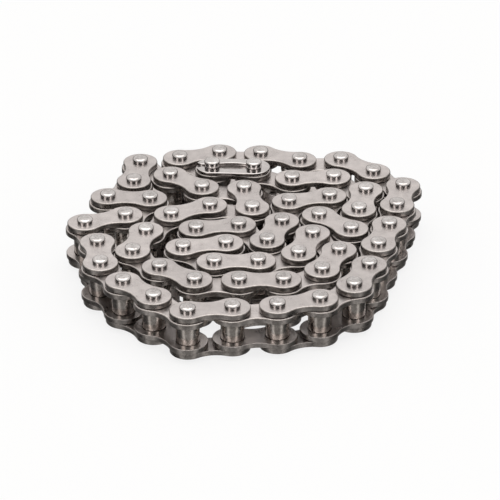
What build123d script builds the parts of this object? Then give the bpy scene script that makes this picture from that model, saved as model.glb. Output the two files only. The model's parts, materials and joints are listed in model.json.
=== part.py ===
from build123d import *
import math
import os

# A length of short-pitch precision chain of 3/8 inch pitch, joined into an endless loop
# of 60 links by a connecting link with a spring clip, and laid on its side in a flat
# single-layer coil. Every pivot's axis is along Z. Millimetres.

# Links, common to the whole chain
PITCH = 9.525  # between the two pivots of a link
PLATE_THICKNESS = 1.25
INNER_WIDTH = 4.78  # between the plates of an inner link
INNER_PLATE_HEIGHT = 8.6
INNER_PLATE_WAIST = 6.2
OUTER_PLATE_HEIGHT = 7.8
OUTER_PLATE_WAIST = 5.6
PLATE_EDGE_RADIUS = 0.22
PIN_DIAMETER = 3.58
PIN_PROUD = 1.05  # of a riveted pin end, past its plate
PIN_EDGE_RADIUS = 0.6
BUSH_DIAMETER = 5.08

# Connecting link
LONG_PIN_PROUD = 2.3  # of its pins, past the cover plate
CLIP_THICKNESS = 0.8
CLIP_END_RADIUS = 3.7
CLIP_SLOT_WIDTH = 3.2  # between the clip's legs, midway between the pins
CLIP_SLOT_END_WIDTH = 1.9  # where the legs meet the pins
CLIP_THROAT_WIDTH = 1.2  # between the legs at their open ends
CLIP_MOUTH_WIDTH = 2.6  # where the open ends flare
CLIP_EDGE_CHAMFER = 0.12
PIN_GROOVE_DIAMETER = 2.7

# Fits
RUNNING_FIT = 0.03  # radial, of a pin in its bush
SIDE_PLAY = 0.12  # between the outer and the inner plates, on each side
CLIP_FIT = 0.04  # of the clip in the pins' grooves, radial and on each face
STRAND_GAP = 0.15  # least gap between the plates of stretches that lie side by side

# Heights above the surface that the lower pin ends rest on
LOWER_OUTER_Z = PIN_PROUD
LOWER_INNER_Z = LOWER_OUTER_Z + PLATE_THICKNESS + SIDE_PLAY
UPPER_INNER_Z = LOWER_INNER_Z + PLATE_THICKNESS + INNER_WIDTH
UPPER_OUTER_Z = UPPER_INNER_Z + PLATE_THICKNESS + SIDE_PLAY
COVER_TOP_Z = UPPER_OUTER_Z + PLATE_THICKNESS
PIN_TOP_Z = COVER_TOP_Z + PIN_PROUD
LONG_PIN_TOP_Z = COVER_TOP_Z + LONG_PIN_PROUD

# Where the pivots lie in the coil, roughly, in pitches: X to the right, Y to the back.
# Links join them in order, and the last pivot joins the first. The connecting link is first.
ROUTE = [
    # along the back, then down the right-hand side of the inner strands
    (-0.9, 4.05), (0.1, 4.0), (1.0, 3.6), (2.0, 3.65), (2.75, 3.0), (2.55, 2.0), (2.35, 1.05),
    # two folds against each other
    (1.6, 1.7), (1.9, 2.7), (0.9, 2.4), (0.75, 1.4), (0.4, 0.5),
    # zigzag in the middle
    (-0.25, 1.25), (-1.25, 1.05), (-0.55, 0.35), (-1.55, 0.15), (-0.8, -0.55), (0.2, -0.5),
    # up, sharply back, and round the front of the zigzag
    (1.1, -0.1), (1.45, 0.8), (2.05, 0.0), (1.65, -0.9), (0.75, -1.4), (-0.25, -1.4), (-1.25, -1.4),
    # up the left-hand side of the inner strands
    (-2.05, -0.8), (-2.7, 0.0), (-2.4, 0.95), (-1.85, 1.75), (-0.95, 2.2), (0.05, 2.1),
    # back to the left, to the far left corner
    (-0.15, 3.05), (-1.15, 3.15), (-1.9, 3.75), (-2.65, 4.45),
    # down the left-hand side, with one zigzag
    (-2.75, 3.45), (-3.35, 2.65), (-2.35, 2.55), (-2.9, 1.7), (-3.85, 1.35), (-3.5, 0.4), (-3.4, -0.6),
    # the outer strand: round the front
    (-2.85, -1.45), (-2.15, -2.15), (-1.35, -2.8), (-0.4, -2.65), (0.6, -2.55), (1.55, -2.25),
    # up the right-hand side
    (2.35, -1.6), (2.7, -0.7), (2.95, 0.3), (3.2, 1.25), (3.45, 2.2), (3.65, 3.2),
    # and along the back, to the fold beside the connecting link
    (2.95, 3.95), (2.2, 4.6), (1.2, 4.55), (0.25, 4.9), (-0.75, 4.95), (-1.7, 4.65),
]
LINKS = len(ROUTE)
SETTLING_ROUNDS = 600

# The three links of one straight stretch, which make one node
STRAIGHT_RUN = [50, 51, 52]


def move_apart(a, b, distance):
    """Moves two points equally along their line until they are this far apart."""
    dx = b[0] - a[0]
    dy = b[1] - a[1]
    now = math.hypot(dx, dy)
    share = (distance - now) / now / 2
    a[0] -= dx * share
    a[1] -= dy * share
    b[0] += dx * share
    b[1] += dy * share


def clear_waist(pivot, a, b, distance):
    """Moves a pivot, and the link from a to b, until the pivot clears the link's middle."""
    dx = pivot[0] - (a[0] + b[0]) / 2
    dy = pivot[1] - (a[1] + b[1]) / 2
    now = math.hypot(dx, dy)
    if now < distance:
        share = (distance - now) / now / 2
        for point, way in ((pivot, 1), (a, -1), (b, -1)):
            point[0] += way * dx * share
            point[1] += way * dy * share


def is_inner(link):
    """Outer and inner links take turns along the chain, and the connecting link is outer."""
    return link % 2 == 1


def settle(pivots):
    """Lays the chain down: each link one pitch long, and no plate on a neighbour's plate."""
    end_to_end = INNER_PLATE_HEIGHT + STRAND_GAP
    end_to_waist = (INNER_PLATE_HEIGHT + INNER_PLATE_WAIST) / 2 + STRAND_GAP
    outer_end_to_waist = (OUTER_PLATE_HEIGHT + OUTER_PLATE_WAIST) / 2 + STRAND_GAP
    for _ in range(SETTLING_ROUNDS):
        for i in range(LINKS):
            move_apart(pivots[i], pivots[(i + 1) % LINKS], PITCH)
        for i in range(LINKS):
            for j in range(i + 2, min(LINKS, i + LINKS - 1)):
                if math.dist(pivots[i], pivots[j]) < end_to_end:
                    move_apart(pivots[i], pivots[j], end_to_end)
        for i in range(LINKS):
            near = end_to_waist if is_inner(i) else outer_end_to_waist
            for j in range(i + 3, i + LINKS - 1):
                clear_waist(pivots[j % LINKS], pivots[i], pivots[(i + 1) % LINKS], near)
    return pivots


def centred(pivots):
    """The same pivots, with the middle of the coil's footprint at the origin."""
    xs = [x for x, _ in pivots]
    ys = [y for _, y in pivots]
    middle_x = (min(xs) + max(xs)) / 2
    middle_y = (min(ys) + max(ys)) / 2
    return [(x - middle_x, y - middle_y) for x, y in pivots]


def link_places(pivots):
    """Where each link lies: its first pivot at the local origin, its second along local X."""
    places = []
    for i in range(LINKS):
        x, y = pivots[i]
        next_x, next_y = pivots[(i + 1) % LINKS]
        heading = math.degrees(math.atan2(next_y - y, next_x - x))
        places.append(Pos(x, y, 0) * Rot(0, 0, heading))
    return places


def bar(radius, low, high):
    """A round bar on the local Z axis."""
    return Pos(0, 0, low) * Cylinder(radius, high - low, align=(Align.CENTER, Align.CENTER, Align.MIN))


def plate(height, waist, bore, low):
    """A figure-of-eight link plate with a hole at each pivot, its lower face at this height."""
    end = height / 2
    half = waist / 2
    hollow = (PITCH**2 / 4 + half**2 - end**2) / (2 * (end - half))
    tangent_x = PITCH / 2 * end / (end + hollow)
    tangent_y = (half + hollow) * end / (end + hollow)
    upper_left = (tangent_x, tangent_y)
    upper_right = (PITCH - tangent_x, tangent_y)
    lower_right = (PITCH - tangent_x, -tangent_y)
    lower_left = (tangent_x, -tangent_y)
    outline = [
        ThreePointArc(upper_left, (PITCH / 2, half), upper_right),
        ThreePointArc(upper_right, (PITCH + end, 0), lower_right),
        ThreePointArc(lower_right, (PITCH / 2, -half), lower_left),
        ThreePointArc(lower_left, (-end, 0), upper_left),
    ]
    blank = extrude(make_face(outline), PLATE_THICKNESS)
    blank = fillet(blank.edges().filter_by(GeomType.CIRCLE), PLATE_EDGE_RADIUS)
    for x in (0, PITCH):
        blank -= Pos(x, 0, 0) * bar(bore / 2, 0, PLATE_THICKNESS)
    return Pos(0, 0, low) * blank


def riveted_pin():
    """A pin from the surface to its upper riveted end."""
    pin = bar(PIN_DIAMETER / 2, 0, PIN_TOP_Z)
    return fillet(pin.edges().filter_by(GeomType.CIRCLE), PIN_EDGE_RADIUS)


def long_pin(low):
    """A connecting link's pin, from this height to its top, with the clip's groove."""
    pin = bar(PIN_DIAMETER / 2, low, LONG_PIN_TOP_Z)
    pin = fillet(pin.edges().filter_by(GeomType.CIRCLE).sort_by(Axis.Z)[-1], PIN_EDGE_RADIUS)
    if low == 0:
        pin = fillet(pin.edges().filter_by(GeomType.CIRCLE).sort_by(Axis.Z)[0], PIN_EDGE_RADIUS)
    groove_top = COVER_TOP_Z + CLIP_THICKNESS + 2 * CLIP_FIT
    ring = bar(PIN_DIAMETER, COVER_TOP_Z, groove_top)
    ring -= bar(PIN_GROOVE_DIAMETER / 2, COVER_TOP_Z, groove_top)
    return pin - ring


def pin_stub():
    """The lower end of a connecting link's pin, no higher than the lower plate."""
    stub = bar(PIN_DIAMETER / 2, 0, LOWER_OUTER_Z + PLATE_THICKNESS)
    return fillet(stub.edges().filter_by(GeomType.CIRCLE).sort_by(Axis.Z)[0], PIN_EDGE_RADIUS)


def bush():
    """A bush, pressed into both inner plates and flush with their outer faces."""
    top = UPPER_INNER_Z + PLATE_THICKNESS
    tube = bar(BUSH_DIAMETER / 2, LOWER_INNER_Z, top)
    return tube - bar(PIN_DIAMETER / 2 + RUNNING_FIT, LOWER_INNER_Z, top)


def inner_link():
    """Two bushes pressed into two plates."""
    lower = plate(INNER_PLATE_HEIGHT, INNER_PLATE_WAIST, BUSH_DIAMETER, LOWER_INNER_Z)
    upper = plate(INNER_PLATE_HEIGHT, INNER_PLATE_WAIST, BUSH_DIAMETER, UPPER_INNER_Z)
    return [lower, upper, bush(), Pos(PITCH, 0, 0) * bush()]


def outer_plate(low):
    """A plate that holds two pins."""
    return plate(OUTER_PLATE_HEIGHT, OUTER_PLATE_WAIST, PIN_DIAMETER, low)


def outer_link():
    """Two pins riveted into two plates."""
    pins = [riveted_pin(), Pos(PITCH, 0, 0) * riveted_pin()]
    return [outer_plate(LOWER_OUTER_Z), outer_plate(UPPER_OUTER_Z)] + pins


def connecting_pin_link():
    """The lower plate and pins of the connecting link.

    The loop is opened at its first pivot: there the pin is in two pieces, one in each
    plate, so that the bush between the plates can leave.
    """
    upper_piece = long_pin(UPPER_OUTER_Z)
    return [outer_plate(LOWER_OUTER_Z), pin_stub(), upper_piece, Pos(PITCH, 0, 0) * long_pin(0)]


def spring_clip():
    """A flat two-legged clip in both pins' grooves, closed at the second pivot."""
    seat = PIN_GROOVE_DIAMETER / 2 + CLIP_FIT
    half = CLIP_SLOT_WIDTH / 2
    end_half = CLIP_SLOT_END_WIDTH / 2
    throat_half = CLIP_THROAT_WIDTH / 2
    mouth_half = CLIP_MOUTH_WIDTH / 2
    slot = make_face(
        [
            ThreePointArc((0, end_half), (PITCH / 2, half), (PITCH, end_half)),
            Line((PITCH, end_half), (PITCH, -end_half)),
            ThreePointArc((PITCH, -end_half), (PITCH / 2, -half), (0, -end_half)),
            Line((0, -end_half), (0, end_half)),
        ]
    )
    throat_start = (CLIP_END_RADIUS + seat) / 2
    mouth = make_face(
        Polyline(
            (0, throat_half),
            (-throat_start, throat_half),
            (-CLIP_END_RADIUS, mouth_half),
            (-CLIP_END_RADIUS, -mouth_half),
            (-throat_start, -throat_half),
            (0, -throat_half),
            close=True,
        )
    )
    outline = Pos(PITCH / 2, 0) * SlotCenterToCenter(PITCH, 2 * CLIP_END_RADIUS)
    for opening in (slot, mouth, Circle(seat), Pos(PITCH, 0) * Circle(seat)):
        outline -= opening
    clip = extrude(outline, CLIP_THICKNESS)
    upper_edges = clip.edges().group_by(Axis.Z)[-1]
    clip = chamfer(upper_edges, CLIP_EDGE_CHAMFER)
    return Pos(0, 0, COVER_TOP_Z + CLIP_FIT) * clip


def write(node, solids):
    """Writes one node's solids to its own file."""
    export_step(Compound(solids), f"parts/{node}.step")


def node_name(link):
    """Links are numbered along the chain from the connecting link."""
    if link in STRAIGHT_RUN:
        return "straight_run"
    if is_inner(link):
        return f"inner_link_{(link + 1) // 2:02d}"
    return f"outer_link_{link // 2:02d}"


def build():
    """Writes every node of the chain."""
    os.makedirs("parts", exist_ok=True)
    pivots = centred(settle([[x * PITCH, y * PITCH] for x, y in ROUTE]))
    places = link_places(pivots)
    kinds = [outer_link(), inner_link()]
    nodes = {}
    for link in range(1, LINKS):
        solids = [places[link] * solid for solid in kinds[link % 2]]
        nodes.setdefault(node_name(link), []).extend(solids)
    nodes["connecting_link_pins"] = [places[0] * solid for solid in connecting_pin_link()]
    nodes["connecting_cover_plate"] = [places[0] * outer_plate(UPPER_OUTER_Z)]
    nodes["spring_clip"] = [places[0] * spring_clip()]
    for node, solids in nodes.items():
        write(node, solids)


build()
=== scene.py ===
import json
import math
import random

import bmesh
import bpy
from mathutils import Matrix, Vector


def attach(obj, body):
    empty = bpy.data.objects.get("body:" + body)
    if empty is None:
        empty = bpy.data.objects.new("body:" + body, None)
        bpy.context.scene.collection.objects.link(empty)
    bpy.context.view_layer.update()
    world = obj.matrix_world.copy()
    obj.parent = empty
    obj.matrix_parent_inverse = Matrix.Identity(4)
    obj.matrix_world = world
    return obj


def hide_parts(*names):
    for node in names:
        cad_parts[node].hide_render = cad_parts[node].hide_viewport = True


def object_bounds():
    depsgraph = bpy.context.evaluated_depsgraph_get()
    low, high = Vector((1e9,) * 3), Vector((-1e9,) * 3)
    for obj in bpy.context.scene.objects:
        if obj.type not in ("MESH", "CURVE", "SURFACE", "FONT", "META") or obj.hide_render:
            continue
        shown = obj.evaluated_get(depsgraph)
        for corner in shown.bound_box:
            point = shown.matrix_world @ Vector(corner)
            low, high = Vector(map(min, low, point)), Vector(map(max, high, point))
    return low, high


# A coiled roller chain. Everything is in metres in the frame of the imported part; MM turns the
# sizes below, which are the chain's own, into metres.

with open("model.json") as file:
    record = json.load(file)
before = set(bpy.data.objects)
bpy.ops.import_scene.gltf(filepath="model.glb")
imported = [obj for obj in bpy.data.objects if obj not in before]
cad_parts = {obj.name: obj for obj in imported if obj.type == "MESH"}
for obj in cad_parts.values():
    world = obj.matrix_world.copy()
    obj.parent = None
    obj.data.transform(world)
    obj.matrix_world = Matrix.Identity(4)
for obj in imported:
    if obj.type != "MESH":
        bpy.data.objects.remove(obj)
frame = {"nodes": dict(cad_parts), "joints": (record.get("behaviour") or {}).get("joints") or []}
low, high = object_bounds()
random.seed(7)

MM = 0.001

# The chain's own sizes, in millimetres
PITCH = 9.525
PLATE = 1.25
LOWER_OUTER_Z = 1.05
LOWER_INNER_Z = 2.42
UPPER_INNER_Z = 8.45
UPPER_OUTER_Z = 9.82
COVER_TOP_Z = UPPER_OUTER_Z + PLATE
PIN_TOP_Z = 12.12
PIN_RADIUS = 1.79
BUSH_RADIUS = 2.54
BORE_RADIUS = 1.82
OUTER_HALF = 3.9
OUTER_WAIST_HALF = 2.8
INNER_HALF = 4.3
INNER_WAIST_HALF = 3.1
LONG_PIN_TOP_Z = COVER_TOP_Z + 2.3
GROOVE_RADIUS = 1.35
CLIP_FIT = 0.04
CLIP_LOW_Z = COVER_TOP_Z + CLIP_FIT
CLIP_THICKNESS = 0.8
CLIP_HALF = 3.7
CLIP_SLOT_HALF = 1.6
CLIP_SLOT_END_HALF = 0.95
CLIP_THROAT_HALF = 0.6
CLIP_MOUTH_HALF = 1.3

# Mesh detail
ARC_STEP = math.radians(6)
ROUND_STEPS = 4
VARIANTS = 6


# ---------------------------------------------------------------- where the pivots are

def pin_tops(node, reach):
    """The axes of a node's pins, from the vertices around their upper ends."""
    mesh = frame["nodes"][node].data
    top = max(v.co.z for v in mesh.vertices)
    groups = []
    for v in mesh.vertices:
        if v.co.z < top - 0.00002:
            continue
        p = Vector((v.co.x, v.co.y))
        for g in groups:
            if (g[0] - p).length < reach:
                g.append(p)
                break
        else:
            groups.append([p])
    found = []
    for g in groups:
        xs = [p.x for p in g]
        ys = [p.y for p in g]
        found.append(Vector(((min(xs) + max(xs)) / 2, (min(ys) + max(ys)) / 2)))
    return found


def all_pivots():
    """The 60 pivots in order, from the frame's joints and, where there is none, from the pins."""
    pivots = {}
    for j in frame["joints"]:
        number = 30 if j["name"] == "uncoil" else int(j["name"].split("_")[1])
        x, y, _ = j["pos_m"]
        pivots[number] = Vector((x, y))
    connecting = pin_tops("connecting_link_pins", 0.004)
    pivots[0] = max(connecting, key=lambda p: (p - pivots[1]).length)
    run = pin_tops("straight_run", 0.004)
    run.sort(key=lambda p: (p - pivots[50]).length)
    pivots[51] = run[1]
    pivots[52] = run[2]
    return [pivots[i] for i in range(60)]


# ---------------------------------------------------------------- outlines

def arc(cx, cy, r, a0, a1):
    """Points on an arc from angle a0 to a1, without the last one."""
    n = max(2, math.ceil(abs(a1 - a0) / ARC_STEP))
    return [
        (cx + r * math.cos(a0 + (a1 - a0) * i / n), cy + r * math.sin(a0 + (a1 - a0) * i / n))
        for i in range(n)
    ]


def plate_outline(half, waist):
    """A link plate's outline: round about both pivots and hollow between them."""
    hollow = (PITCH**2 / 4 + waist**2 - half**2) / (2 * (half - waist))
    lean = math.asin((PITCH / 2) / (half + hollow))
    top = math.pi / 2 - lean
    points = arc(0, 0, half, top, 2 * math.pi - top)
    points += arc(PITCH / 2, -(waist + hollow), hollow, math.pi / 2 + lean, math.pi / 2 - lean)
    points += arc(PITCH, 0, half, -math.pi + top, math.pi - top)
    points += arc(PITCH / 2, waist + hollow, hollow, -math.pi / 2 + lean, -math.pi / 2 - lean)
    return points


def clip_outline():
    """The spring clip's one outline: round the closed end, then back along both legs' inner sides."""
    seat = GROOVE_RADIUS + CLIP_FIT
    throat_x = (CLIP_HALF + seat) / 2
    rise = CLIP_SLOT_HALF - CLIP_SLOT_END_HALF
    reach = PITCH / 2 - math.sqrt(seat**2 - CLIP_SLOT_END_HALF**2)
    bow = (reach**2 + rise**2) / (2 * rise)
    sweep = math.asin(reach / bow)
    seat_edge = math.asin(CLIP_SLOT_END_HALF / seat)
    throat_edge = math.asin(CLIP_THROAT_HALF / seat)
    mouth_edge = math.asin(CLIP_MOUTH_HALF / CLIP_HALF)
    points = arc(0, 0, CLIP_HALF, math.pi + mouth_edge, math.pi * 1.5)
    points += arc(PITCH, 0, CLIP_HALF, -math.pi / 2, math.pi / 2)
    points += arc(0, 0, CLIP_HALF, math.pi / 2, math.pi - mouth_edge)
    points += [(-CLIP_HALF * math.cos(mouth_edge), CLIP_MOUTH_HALF), (-throat_x, CLIP_THROAT_HALF)]
    points += arc(0, 0, seat, math.pi - throat_edge, seat_edge)
    points += arc(PITCH / 2, CLIP_SLOT_HALF - bow, bow, math.pi / 2 + sweep, math.pi / 2 - sweep)
    points += arc(PITCH, 0, seat, math.pi - seat_edge, -math.pi + seat_edge)
    points += arc(PITCH / 2, bow - CLIP_SLOT_HALF, bow, -math.pi / 2 + sweep, -math.pi / 2 - sweep)
    points += arc(0, 0, seat, -seat_edge, -math.pi + throat_edge)
    points += [(-seat * math.cos(throat_edge), -CLIP_THROAT_HALF), (-throat_x, -CLIP_THROAT_HALF)]
    return points


def circle(cx, cy, r, steps=48):
    """A round hole, clockwise so that its wall faces inwards."""
    return [
        (cx + r * math.cos(-2 * math.pi * i / steps), cy + r * math.sin(-2 * math.pi * i / steps))
        for i in range(steps)
    ]


def outward(points):
    """The outward direction at each point of a loop."""
    found = []
    n = len(points)
    for i in range(n):
        ax, ay = points[i - 1]
        bx, by = points[i]
        cx, cy = points[(i + 1) % n]
        d1 = Vector((bx - ax, by - ay)).normalized()
        d2 = Vector((cx - bx, cy - by)).normalized()
        d = (d1 + d2).normalized()
        miter = 1 / max(0.5, d.dot(d2))
        found.append((d.y * miter, -d.x * miter))
    return found


# ---------------------------------------------------------------- solids in one bmesh

def ring(bm, loop, normals, inset, z):
    return [
        bm.verts.new(((x - nx * inset) * MM, (y - ny * inset) * MM, z * MM))
        for (x, y), (nx, ny) in zip(loop, normals)
    ]


def skin(bm, a, b, material):
    """Faces between two rings of the same length."""
    n = len(a)
    for i in range(n):
        f = bm.faces.new((a[i], a[(i + 1) % n], b[(i + 1) % n], b[i]))
        f.smooth = True
        f.material_index = material


def edge_profile(z0, z1, below, above):
    """(inset, height) up a plate's edge, with a rounded rim at each face and flat lands beyond."""
    rows = [(below + 0.10, z0)]
    for i in range(ROUND_STEPS + 1):
        t = math.pi / 2 * i / ROUND_STEPS
        rows.append((below * (1 - math.sin(t)), z0 + below * (1 - math.cos(t))))
    for i in range(ROUND_STEPS + 1):
        t = math.pi / 2 * i / ROUND_STEPS
        rows.append((above * (1 - math.cos(t)), z1 - above * (1 - math.sin(t))))
    rows.append((above + 0.10, z1))
    return rows


def slab(bm, loops, z0, z1, below, above, face_material, edge_material):
    """A flat plate with rounded rims. The first loop is its outline, the others its holes."""
    bottoms = []
    tops = []
    for k, loop in enumerate(loops):
        normals = outward(loop)
        b, a = (below, above) if k == 0 else (min(below, 0.10), min(above, 0.10))
        rows = edge_profile(z0, z1, b, a)
        rings = [ring(bm, loop, normals, inset, z) for inset, z in rows]
        for i in range(len(rings) - 1):
            # The flat land and first step of each rounding take face_material; the rest of the rounding and
            # the wall take edge_material, which on the link plates is a darker, painted-shade copy of the
            # face steel.
            rim = i < 2 or i > len(rings) - 4
            skin(bm, rings[i], rings[i + 1], face_material if rim else edge_material)
        bottoms.append(rings[0])
        tops.append(rings[-1])
    for rings, up in ((bottoms, False), (tops, True)):
        edges = []
        for r in rings:
            for i in range(len(r)):
                edges.append(bm.edges.get((r[i], r[(i + 1) % len(r)])))
        made = bmesh.ops.triangle_fill(bm, use_beauty=True, use_dissolve=False, edges=edges)
        for f in made["geom"]:
            if isinstance(f, bmesh.types.BMFace):
                f.material_index = face_material
                f.smooth = True
                f.normal_update()
                if (f.normal.z > 0) != up:
                    f.normal_flip()


def lathe(bm, cx, cy, profile, material, steps=40):
    """A turned part about a vertical axis. profile is (radius, height) from one end to the other;
    a radius of 0 closes it."""
    rings = []
    for r, z in profile:
        if r == 0:
            rings.append([bm.verts.new((cx * MM, cy * MM, z * MM))])
        else:
            rings.append([
                bm.verts.new((
                    (cx + r * math.cos(2 * math.pi * i / steps)) * MM,
                    (cy + r * math.sin(2 * math.pi * i / steps)) * MM,
                    z * MM,
                ))
                for i in range(steps)
            ])
    for a, b in zip(rings, rings[1:]):
        for i in range(steps):
            j = (i + 1) % steps
            corners = (
                [a[0], b[j], b[i]] if len(a) == 1
                else [a[i], a[j], b[0]] if len(b) == 1
                else [a[i], a[j], b[j], b[i]]
            )
            f = bm.faces.new(corners)
            f.smooth = True
            f.material_index = material


def turned_end(radius, z, out, rounding):
    """The rounded end of a pin: out is +1 for an upper end and -1 for a lower one."""
    rows = [(radius, z - out * (rounding + 0.02))]
    for i in range(ROUND_STEPS * 2 + 1):
        t = math.pi / 2 * i / (ROUND_STEPS * 2)
        rows.append((radius - rounding * (1 - math.cos(t)), z - out * rounding * (1 - math.sin(t))))
    rows.append((rows[-1][0] - 0.12, z))
    rows.append((0, z))
    return rows


def pin(bm, cx, cy, z0, z1, rounding, material):
    lower = turned_end(PIN_RADIUS, z0, -1, rounding)
    upper = turned_end(PIN_RADIUS, z1, 1, rounding)
    lathe(bm, cx, cy, lower[::-1] + upper, material)


def grooved_pin(bm, cx, cy, z0, rounding, material):
    """A connecting pin with the clip's groove, from z0 to its top."""
    groove_top = CLIP_LOW_Z + CLIP_THICKNESS + CLIP_FIT
    lower = turned_end(PIN_RADIUS, z0, -1, rounding)[::-1]
    groove = [
        (PIN_RADIUS, COVER_TOP_Z - 0.02),
        (PIN_RADIUS, COVER_TOP_Z),
        (GROOVE_RADIUS, COVER_TOP_Z),
        (GROOVE_RADIUS, groove_top),
        (PIN_RADIUS - 0.06, groove_top),
        (PIN_RADIUS, groove_top + 0.06),
    ]
    lathe(bm, cx, cy, lower + groove + turned_end(PIN_RADIUS, LONG_PIN_TOP_Z, 1, rounding), material)


def bush(bm, cx, cy, z0, z1, material):
    """A bush with a bore and softened ends."""
    soft = 0.12
    profile = [
        (BORE_RADIUS, z1 - soft),
        (BORE_RADIUS + soft, z1),
        (BUSH_RADIUS - soft, z1),
        (BUSH_RADIUS, z1 - soft),
        (BUSH_RADIUS, z0 + soft),
        (BUSH_RADIUS - soft, z0),
        (BORE_RADIUS + soft, z0),
        (BORE_RADIUS, z0 + soft),
        (BORE_RADIUS, z1 - soft),
    ]
    lathe(bm, cx, cy, profile[::-1], material)


# ---------------------------------------------------------------- materials

def link(tree, a, b):
    tree.links.new(a, b)


def steel(name, seed, dark, light, rough_low, rough_high, grain, bump, spread=0.5):
    """Bright rolled steel: fine speckle in colour, roughness and relief, and slow cloudiness."""
    m = bpy.data.materials.new(name)
    m.use_nodes = True
    t = m.node_tree
    t.nodes.clear()
    out = t.nodes.new("ShaderNodeOutputMaterial")
    shader = t.nodes.new("ShaderNodeBsdfPrincipled")
    shader.inputs["Metallic"].default_value = 1.0
    where = t.nodes.new("ShaderNodeTexCoord")
    place = t.nodes.new("ShaderNodeMapping")
    place.inputs["Location"].default_value = (seed * 0.031, seed * 0.017, seed * 0.011)
    link(t, where.outputs["Object"], place.inputs["Vector"])
    fine = t.nodes.new("ShaderNodeTexNoise")
    fine.inputs["Scale"].default_value = grain
    fine.inputs["Detail"].default_value = 3.0
    cloud = t.nodes.new("ShaderNodeTexNoise")
    cloud.inputs["Scale"].default_value = 420.0
    cloud.inputs["Detail"].default_value = 4.0
    cloud.inputs["Roughness"].default_value = 0.6
    for n in (fine, cloud):
        link(t, place.outputs["Vector"], n.inputs["Vector"])
    both = t.nodes.new("ShaderNodeMix")
    both.data_type = "FLOAT"
    both.inputs["Factor"].default_value = spread
    link(t, fine.outputs["Fac"], both.inputs["A"])
    link(t, cloud.outputs["Fac"], both.inputs["B"])
    ramp = t.nodes.new("ShaderNodeValToRGB")
    ramp.color_ramp.elements[0].position = 0.34
    ramp.color_ramp.elements[0].color = (*dark, 1)
    ramp.color_ramp.elements[1].position = 0.62
    ramp.color_ramp.elements[1].color = (*light, 1)
    link(t, both.outputs["Result"], ramp.inputs["Fac"])
    link(t, ramp.outputs["Color"], shader.inputs["Base Color"])
    rough = t.nodes.new("ShaderNodeMapRange")
    rough.inputs["From Min"].default_value = 0.3
    rough.inputs["From Max"].default_value = 0.7
    rough.inputs["To Min"].default_value = rough_low
    rough.inputs["To Max"].default_value = rough_high
    link(t, cloud.outputs["Fac"], rough.inputs["Value"])
    link(t, rough.outputs["Result"], shader.inputs["Roughness"])
    relief = t.nodes.new("ShaderNodeBump")
    relief.inputs["Strength"].default_value = bump
    relief.inputs["Distance"].default_value = 0.00002
    link(t, both.outputs["Result"], relief.inputs["Height"])
    link(t, relief.outputs["Normal"], shader.inputs["Normal"])
    link(t, shader.outputs["BSDF"], out.inputs["Surface"])
    return m


FACES = []
SHADED_EDGES = []
PINS = []
BUSHES = []
for v in range(VARIANTS):
    k = 0.94 + 0.12 * v / (VARIANTS - 1)
    FACES.append(steel(
        f"plate_face_{v}", v, (0.44 * k, 0.405 * k, 0.395 * k), (0.60 * k, 0.555 * k, 0.54 * k),
        0.26, 0.36, 5200.0, 0.35,
    ))
    # Painted shade: the link plates' walls and most of their rounded rims get this darker copy of the face
    # steel, in place of the shade that falls on upright sides.
    SHADED_EDGES.append(steel(
        f"plate_edge_painted_shade_{v}", v + 20, (0.20 * k, 0.18 * k, 0.168 * k), (0.40 * k, 0.37 * k, 0.35 * k),
        0.24, 0.40, 2600.0, 0.5,
    ))
    PINS.append(steel(
        f"pin_{v}", v + 40, (0.36 * k, 0.335 * k, 0.325 * k), (0.64 * k, 0.61 * k, 0.60 * k),
        0.12, 0.22, 3000.0, 0.35,
    ))
    BUSHES.append(steel(
        f"bush_{v}", v + 60, (0.30 * k, 0.27 * k, 0.245 * k), (0.52 * k, 0.48 * k, 0.45 * k),
        0.16, 0.28, 1800.0, 0.4,
    ))
CLIP = steel("clip_steel", 90, (0.47, 0.44, 0.43), (0.60, 0.57, 0.56), 0.12, 0.18, 3800.0, 0.2)


# ---------------------------------------------------------------- links

OUTER_LOOP = plate_outline(OUTER_HALF, OUTER_WAIST_HALF)
INNER_LOOP = plate_outline(INNER_HALF, INNER_WAIST_HALF)
PIN_ROUNDING = 0.6
LONG_PIN_ROUNDING = 0.45
CLIP_RIM = 0.16
RIM = 0.26
BACK_RIM = 0.12


def add_outer(bm, at, pins=(True, True), upper=True):
    """An outer link's plates and riveted pins, with its first pivot at the given place."""
    start = len(bm.verts)
    slab(bm, [OUTER_LOOP], LOWER_OUTER_Z, LOWER_OUTER_Z + PLATE, RIM, BACK_RIM, 0, 1)
    if upper:
        slab(bm, [OUTER_LOOP], UPPER_OUTER_Z, COVER_TOP_Z, BACK_RIM, RIM, 0, 1)
    for x, wanted in zip((0, PITCH), pins):
        if wanted:
            pin(bm, x, 0, 0, PIN_TOP_Z, PIN_ROUNDING, 2)
    bm.verts.ensure_lookup_table()
    bmesh.ops.transform(bm, matrix=at, verts=bm.verts[start:])


def add_inner(bm, at):
    """An inner link's two plates and two bushes, with its first pivot at the given place."""
    start = len(bm.verts)
    holes = [circle(0, 0, BUSH_RADIUS), circle(PITCH, 0, BUSH_RADIUS)]
    loops = [INNER_LOOP] + holes
    slab(bm, loops, LOWER_INNER_Z, LOWER_INNER_Z + PLATE, RIM, BACK_RIM, 0, 1)
    slab(bm, loops, UPPER_INNER_Z, UPPER_INNER_Z + PLATE, BACK_RIM, RIM, 0, 1)
    for x in (0, PITCH):
        bush(bm, x, 0, LOWER_INNER_Z, UPPER_INNER_Z + PLATE, 3)
    bm.verts.ensure_lookup_table()
    bmesh.ops.transform(bm, matrix=at, verts=bm.verts[start:])


def place(pivots, k):
    """Link k's own frame: its first pivot at the origin, its second along local X."""
    a = pivots[k]
    b = pivots[(k + 1) % 60]
    return Matrix.Translation((a.x, a.y, 0)) @ Matrix.Rotation(math.atan2(b.y - a.y, b.x - a.x), 4, "Z")


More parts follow.
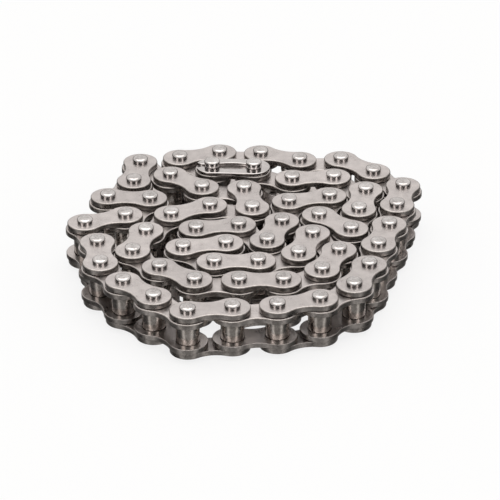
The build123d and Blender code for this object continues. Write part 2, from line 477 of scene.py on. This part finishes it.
def finished(name, bm, at, body, node, variant):
    """The bmesh as an object at its place, standing for its CAD node."""
    bmesh.ops.remove_doubles(bm, verts=bm.verts, dist=1e-8)
    bm.transform(at)
    mesh = bpy.data.meshes.new(name)
    bm.to_mesh(mesh)
    bm.free()
    for group in (FACES, SHADED_EDGES, PINS, BUSHES):
        mesh.materials.append(group[variant % VARIANTS])
    obj = bpy.data.objects.new(name, mesh)
    bpy.context.scene.collection.objects.link(obj)
    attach(obj, body)
    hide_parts(node)
    return obj


PIVOTS = all_pivots()
STRAIGHT = (50, 51, 52)
here = Matrix.Identity(4)

for k in range(1, 60):
    if k in STRAIGHT:
        continue
    bm = bmesh.new()
    if k % 2:
        node = f"inner_link_{(k + 1) // 2:02d}"
        add_inner(bm, here)
    else:
        node = f"outer_link_{k // 2:02d}"
        add_outer(bm, here)
    finished(node + "_steel", bm, place(PIVOTS, k), node, node, k * 5 // 2)

bm = bmesh.new()
origin = place(PIVOTS, STRAIGHT[0])
for k in STRAIGHT:
    at = origin.inverted() @ place(PIVOTS, k)
    if k % 2:
        add_inner(bm, at)
    else:
        add_outer(bm, at)
finished("straight_run_steel", bm, origin, "straight_run", "straight_run", 2)

# The connecting link: its lower plate and pins, the cover plate, and the clip
bm = bmesh.new()
slab(bm, [OUTER_LOOP], LOWER_OUTER_Z, LOWER_OUTER_Z + PLATE, RIM, BACK_RIM, 0, 1)
pin(bm, 0, 0, 0, LOWER_OUTER_Z + PLATE, PIN_ROUNDING / 2, 2)
grooved_pin(bm, 0, 0, UPPER_OUTER_Z, LONG_PIN_ROUNDING, 2)
grooved_pin(bm, PITCH, 0, 0, LONG_PIN_ROUNDING, 2)
finished(
    "connecting_pins_steel", bm, place(PIVOTS, 0), "connecting_link", "connecting_link_pins",
    3,
)

bm = bmesh.new()
slab(bm, [OUTER_LOOP], UPPER_OUTER_Z, COVER_TOP_Z, BACK_RIM, RIM, 0, 1)
finished(
    "cover_plate_steel", bm, place(PIVOTS, 0), "connecting_link", "connecting_cover_plate",
    1,
)

bm = bmesh.new()
slab(bm, [clip_outline()], CLIP_LOW_Z, CLIP_LOW_Z + CLIP_THICKNESS, CLIP_RIM, CLIP_RIM, 0, 1)
clip = finished(
    "spring_clip_steel", bm, place(PIVOTS, 0), "connecting_link", "spring_clip", 0,
)
clip.data.materials[0] = CLIP
clip.data.materials[1] = CLIP


# ---------------------------------------------------------------- floor, light and camera

def studio_world():
    """A bright surround: plain white to the eye; to the metal, a soft wall, an overhead light
    and upright strip lights low down."""
    world = bpy.data.worlds.new("studio")
    world.cycles.sampling_method = "NONE"
    bpy.context.scene.world = world
    world.use_nodes = True
    t = world.node_tree
    t.nodes.clear()

    def math_node(kind, a, b=None, c=None):
        n = t.nodes.new("ShaderNodeMath")
        n.operation = kind
        for i, value in enumerate((a, b, c)):
            if value is None:
                continue
            if isinstance(value, (int, float)):
                n.inputs[i].default_value = value
            else:
                link(t, value, n.inputs[i])
        return n.outputs[0]

    def smooth(value, a, b, out_a, out_b):
        n = t.nodes.new("ShaderNodeMapRange")
        n.interpolation_type = "SMOOTHSTEP"
        n.inputs["From Min"].default_value = a
        n.inputs["From Max"].default_value = b
        n.inputs["To Min"].default_value = out_a
        n.inputs["To Max"].default_value = out_b
        link(t, value, n.inputs["Value"])
        return n.outputs["Result"]

    def times(a, b):
        return math_node("MULTIPLY", a, b)

    where = t.nodes.new("ShaderNodeTexCoord")
    split = t.nodes.new("ShaderNodeSeparateXYZ")
    link(t, where.outputs["Generated"], split.inputs["Vector"])
    x, y, z = split.outputs
    level = math_node("SQRT", math_node("ADD", times(x, x), math_node("ADD", times(y, y), 0.0001)))
    front = math_node("DIVIDE", times(y, -1.0), level)

    # two upright strips left and right of the front, and fainter ones at the back
    front_strips = smooth(math_node("ABSOLUTE", math_node("SUBTRACT", front, 0.75)), 0.08, 0.16, 1.0, 0.0)
    back_strips = smooth(math_node("ABSOLUTE", math_node("ADD", front, 0.75)), 0.08, 0.16, 0.5, 0.0)
    strips = math_node("ADD", front_strips, back_strips)

    # what the metal mirrors directly
    wall = smooth(z, -0.10, 0.30, 0.05, 1.0)
    overhead = smooth(z, 0.72, 0.90, 0.0, 1.6)
    low_part = smooth(z, -0.12, -0.22, 0.0, 1.0)
    fill = smooth(front, 0.25, 0.80, 0.0, 0.24)
    glow = times(math_node("ADD", times(strips, 0.50), fill), low_part)
    direct = math_node("ADD", math_node("ADD", wall, overhead), glow)

    # what it mirrors by way of another face: mostly the dark of the room, and the strips
    back_wall = smooth(front, -0.5, -0.95, 0.05, 0.55)
    room = math_node("ADD", back_wall, times(strips, 2.6))
    high_part = smooth(z, 0.72, 0.90, 0.0, 1.4)
    indirect = math_node("ADD", room, high_part)

    path = t.nodes.new("ShaderNodeLightPath")
    again = math_node("GREATER_THAN", path.outputs["Ray Depth"], 2.5)
    pick = t.nodes.new("ShaderNodeMix")
    pick.data_type = "FLOAT"
    link(t, again, pick.inputs["Factor"])
    link(t, direct, pick.inputs["A"])
    link(t, indirect, pick.inputs["B"])
    total = pick.outputs["Result"]
    seen = t.nodes.new("ShaderNodeBackground")
    seen.inputs["Color"].default_value = (1.0, 1.0, 1.0, 1)
    lit = t.nodes.new("ShaderNodeBackground")
    lit.inputs["Color"].default_value = (1.0, 0.985, 0.965, 1)
    link(t, total, lit.inputs["Strength"])
    mix = t.nodes.new("ShaderNodeMixShader")
    link(t, path.outputs["Is Camera Ray"], mix.inputs["Fac"])
    link(t, lit.outputs[0], mix.inputs[1])
    link(t, seen.outputs[0], mix.inputs[2])
    out = t.nodes.new("ShaderNodeOutputWorld")
    link(t, mix.outputs[0], out.inputs["Surface"])


def pale_floor():
    """A white sweep under the chain, which takes a faint shadow and shows little in the metal."""
    bm = bmesh.new()
    side = 3.0
    corners = [bm.verts.new((x * side, y * side, -0.00005)) for x, y in ((-1, -1), (1, -1), (1, 1), (-1, 1))]
    bm.faces.new(corners)
    mesh = bpy.data.meshes.new("floor")
    bm.to_mesh(mesh)
    bm.free()
    obj = bpy.data.objects.new("floor", mesh)
    bpy.context.scene.collection.objects.link(obj)
    m = bpy.data.materials.new("floor_white")
    m.use_nodes = True
    t = m.node_tree
    t.nodes.clear()
    matte = t.nodes.new("ShaderNodeBsdfDiffuse")
    matte.inputs["Color"].default_value = (0.8, 0.8, 0.8, 1)
    glow = t.nodes.new("ShaderNodeEmission")
    glow.inputs["Strength"].default_value = 0.95
    soft = t.nodes.new("ShaderNodeMixShader")
    soft.inputs["Fac"].default_value = 0.85
    link(t, matte.outputs[0], soft.inputs[1])
    link(t, glow.outputs[0], soft.inputs[2])
    clear = t.nodes.new("ShaderNodeBsdfTransparent")
    path = t.nodes.new("ShaderNodeLightPath")
    pick = t.nodes.new("ShaderNodeMixShader")
    link(t, path.outputs["Is Glossy Ray"], pick.inputs["Fac"])
    link(t, soft.outputs[0], pick.inputs[1])
    link(t, clear.outputs[0], pick.inputs[2])
    out = t.nodes.new("ShaderNodeOutputMaterial")
    link(t, pick.outputs[0], out.inputs["Surface"])
    mesh.materials.append(m)


studio_world()
pale_floor()

ELEVATION = math.radians(28.6)
DISTANCE = 70 * PITCH * MM
middle = (low + high) / 2
target = Vector((middle.x + 0.94 * MM, middle.y + -10.66 * MM, COVER_TOP_Z * MM))
lens = bpy.data.cameras.new("photo_camera")
lens.sensor_width = 36.0
lens.lens = 43.77 * 70 * 36 / 500
lens.clip_start = 0.01
camera = bpy.data.objects.new("photo_camera", lens)
bpy.context.scene.collection.objects.link(camera)
camera.location = target + Vector((0, -math.cos(ELEVATION), math.sin(ELEVATION))) * DISTANCE
camera.rotation_euler = (math.pi / 2 - ELEVATION, 0, 0)
bpy.context.scene.camera = camera
bpy.context.scene.view_settings.view_transform = "Standard"
